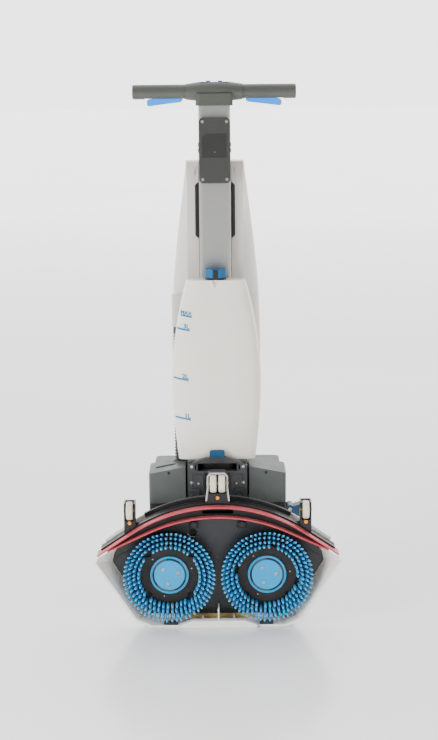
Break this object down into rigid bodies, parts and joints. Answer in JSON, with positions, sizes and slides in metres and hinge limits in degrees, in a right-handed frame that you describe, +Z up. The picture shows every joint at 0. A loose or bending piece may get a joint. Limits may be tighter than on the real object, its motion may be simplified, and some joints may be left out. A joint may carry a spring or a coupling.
{
  "type": "wet dry floor scrubber",
  "caption": "Upright floor scrubber with a folding brush deck, two spinning brushes, a curved squeegee, a front solution tank and a rear recovery tank.",
  "frame": {"origin": "on the floor, under the centre of the bounding box", "axes": "+X to the operator's right, +Y away from the operator, +Z up; the deck is parked with its brushes towards -Y"},
  "size_m": [0.54, 0.3802, 1.18],
  "materials": {
    "column_metal": "satin",
    "dark_shell": "fine grain",
    "board": "printed board",
    "screw_steel": "machined",
    "housing_grey": "fine grain",
    "panel_black": "satin",
    "motor_can": "cast",
    "hose_black": "corrugated",
    "lever_blue": "gloss",
    "deep_blue": "satin",
    "tank_white": "translucent blow moulding",
    "cap_blue": "moulded",
    "seal_black": "matte",
    "battery_grey": "fine grain",
    "pin_steel": "ground",
    "neck_grey": "painted casting",
    "deck_white": "moulded",
    "plate_dark": "moulded",
    "wheel_dark": "tyre",
    "brush_board": "matte",
    "bristle_blue": "nylon bristle",
    "hub_blue": "moulded",
    "blade_red": "polyurethane",
    "bracket_black": "moulded",
    "adjuster_orange": "moulded",
    "wheel_cream": "polyurethane"
  },
  "bodies": {
    "upright": {"column": "column_metal", "handle_upper_shell": "dark_shell", "handle_lower_shell": "dark_shell", "display_panel": "panel_black", "control_box_cover": "dark_shell", "control_board": "board", "upright_screws": "screw_steel", "base_housing": "housing_grey", "base_bottom_cover": "panel_black", "centre_panel": "panel_black", "motor_cover": "housing_grey", "vacuum_motor": "motor_can", "water_pump": "panel_black", "vacuum_hose": "hose_black", "neck_bracket": "neck_grey", "pivot_pins": "pin_steel"},
    "power_button": {"power_button": "lever_blue"},
    "flow_button": {"flow_button": "lever_blue"},
    "trigger_left": {"trigger_left": "lever_blue"},
    "trigger_right": {"trigger_right": "lever_blue"},
    "release_pedal": {"release_pedal": "deep_blue"},
    "solution_tank": {"solution_tank": "tank_white", "cap_band": "seal_black"},
    "tank_cap": {"tank_cap": "cap_blue"},
    "tank_latch": {"tank_latch": "deep_blue"},
    "recovery_tank": {"recovery_tank": "tank_white", "recovery_cover": "tank_white", "inlet_duct": "tank_white"},
    "battery": {"battery_pack": "battery_grey"},
    "neck": {"neck": "neck_grey", "suction_hose_upper": "hose_black"},
    "deck": {"deck_cover": "deck_white", "deck_plate": "plate_dark", "gearmotor_left": "motor_can", "gearmotor_right": "motor_can", "swivel_socket": "neck_grey", "transport_axle": "pin_steel", "squeegee_knobs": "bracket_black", "nose_pads": "seal_black", "suction_hose_lower": "hose_black"},
    "squeegee": {"squeegee_frame": "bracket_black", "squeegee_blade_rear": "blade_red", "squeegee_blade_front": "blade_red", "wheel_brackets": "bracket_black", "wheel_axles": "pin_steel", "height_adjusters": "adjuster_orange"},
    "brush_left": {"brush_disc_left": "brush_board", "bristles_left": "bristle_blue", "hub_cap_left": "hub_blue", "spindle_left": "pin_steel"},
    "transport_wheel_left": {"transport_wheel_left": "wheel_dark"},
    "side_wheel_left": {"side_wheel_left": "wheel_cream"},
    "centre_wheel_left": {"centre_wheel_left": "wheel_cream"},
    "brush_right": {"brush_disc_right": "brush_board", "bristles_right": "bristle_blue", "hub_cap_right": "hub_blue", "spindle_right": "pin_steel"},
    "transport_wheel_right": {"transport_wheel_right": "wheel_dark"},
    "side_wheel_right": {"side_wheel_right": "wheel_cream"},
    "centre_wheel_right": {"centre_wheel_right": "wheel_cream"}
  },
  "joints": [
    {"name": "deck_fold", "type": "hinge", "parent": "upright", "child": "neck", "pos_m": [0, 0.03, 0.2], "axis": [1, 0, 0], "range_deg": [0, 95], "deforming": ["suction_hose_upper"]},
    {"name": "deck_lean", "type": "hinge", "parent": "neck", "child": "deck", "pos_m": [0, -0.025, 0.117], "axis": [0, 0, 1], "range_deg": [-12, 12], "deforming": ["suction_hose_lower"]},
    {"name": "brush_left_spin", "type": "hinge", "parent": "deck", "child": "brush_left", "pos_m": [-0.107, -0.15, 0.113], "axis": [0, 1, 0], "continuous": true},
    {"name": "brush_right_spin", "type": "hinge", "parent": "deck", "child": "brush_right", "pos_m": [0.107, -0.15, 0.113], "axis": [0, 1, 0], "continuous": true},
    {"name": "squeegee_float", "type": "slide", "parent": "deck", "child": "squeegee", "axis": [0, -1, 0], "range_m": [0, 0.004], "stiffness_N_per_m": 1500, "springref_m": -0.003},
    {"name": "trigger_left_squeeze", "type": "hinge", "parent": "upright", "child": "trigger_left", "pos_m": [-0.071, -0.005, 1.1462], "axis": [0, 1, 0], "range_deg": [0, 7], "stiffness_Nm_per_rad": 0.5, "springref_deg": -5.73},
    {"name": "trigger_right_squeeze", "type": "hinge", "parent": "upright", "child": "trigger_right", "pos_m": [0.071, -0.005, 1.1462], "axis": [0, -1, 0], "range_deg": [0, 7], "stiffness_Nm_per_rad": 0.5, "springref_deg": -5.73},
    {"name": "release_pedal_press", "type": "hinge", "parent": "upright", "child": "release_pedal", "pos_m": [0.162, -0.04, 0.232], "axis": [0, 1, 0], "range_deg": [0, 20], "stiffness_Nm_per_rad": 1, "springref_deg": -5.73},
    {"name": "solution_tank_lift", "type": "slide", "parent": "upright", "child": "solution_tank", "axis": [0, -0.5, 0.866], "range_m": [0, 0.12]},
    {"name": "tank_cap_lift", "type": "slide", "parent": "solution_tank", "child": "tank_cap", "axis": [0, 0, 1], "range_m": [0, 0.06]},
    {"name": "tank_latch_press", "type": "slide", "parent": "upright", "child": "tank_latch", "axis": [0, 0, -1], "range_m": [0, 0.004], "stiffness_N_per_m": 800, "springref_m": -0.002},
    {"name": "recovery_tank_lift", "type": "slide", "parent": "upright", "child": "recovery_tank", "axis": [0, 0.5, 0.866], "range_m": [0, 0.1]},
    {"name": "battery_slide", "type": "slide", "parent": "upright", "child": "battery", "axis": [-1, 0, 0], "range_m": [0, 0.16]},
    {"name": "power_button_press", "type": "slide", "parent": "upright", "child": "power_button", "axis": [0, 0, -1], "range_m": [0, 0.0012], "stiffness_N_per_m": 800, "springref_m": -0.001},
    {"name": "flow_button_press", "type": "slide", "parent": "upright", "child": "flow_button", "axis": [0, 0, -1], "range_m": [0, 0.0012], "stiffness_N_per_m": 800, "springref_m": -0.001},
    {"name": "transport_wheel_left_roll", "type": "hinge", "parent": "deck", "child": "transport_wheel_left", "pos_m": [-0.095, 0.028, 0.038], "axis": [1, 0, 0], "continuous": true},
    {"name": "side_wheel_left_roll", "type": "hinge", "parent": "squeegee", "child": "side_wheel_left", "pos_m": [-0.1915, -0.167, 0.261], "axis": [1, 0, 0], "continuous": true},
    {"name": "centre_wheel_left_roll", "type": "hinge", "parent": "squeegee", "child": "centre_wheel_left", "pos_m": [-0.0094, -0.167, 0.321], "axis": [1, 0, 0], "continuous": true},
    {"name": "transport_wheel_right_roll", "type": "hinge", "parent": "deck", "child": "transport_wheel_right", "pos_m": [0.095, 0.028, 0.038], "axis": [1, 0, 0], "continuous": true},
    {"name": "side_wheel_right_roll", "type": "hinge", "parent": "squeegee", "child": "side_wheel_right", "pos_m": [0.1915, -0.167, 0.261], "axis": [1, 0, 0], "continuous": true},
    {"name": "centre_wheel_right_roll", "type": "hinge", "parent": "squeegee", "child": "centre_wheel_right", "pos_m": [0.0094, -0.167, 0.321], "axis": [1, 0, 0], "continuous": true}
  ]
}
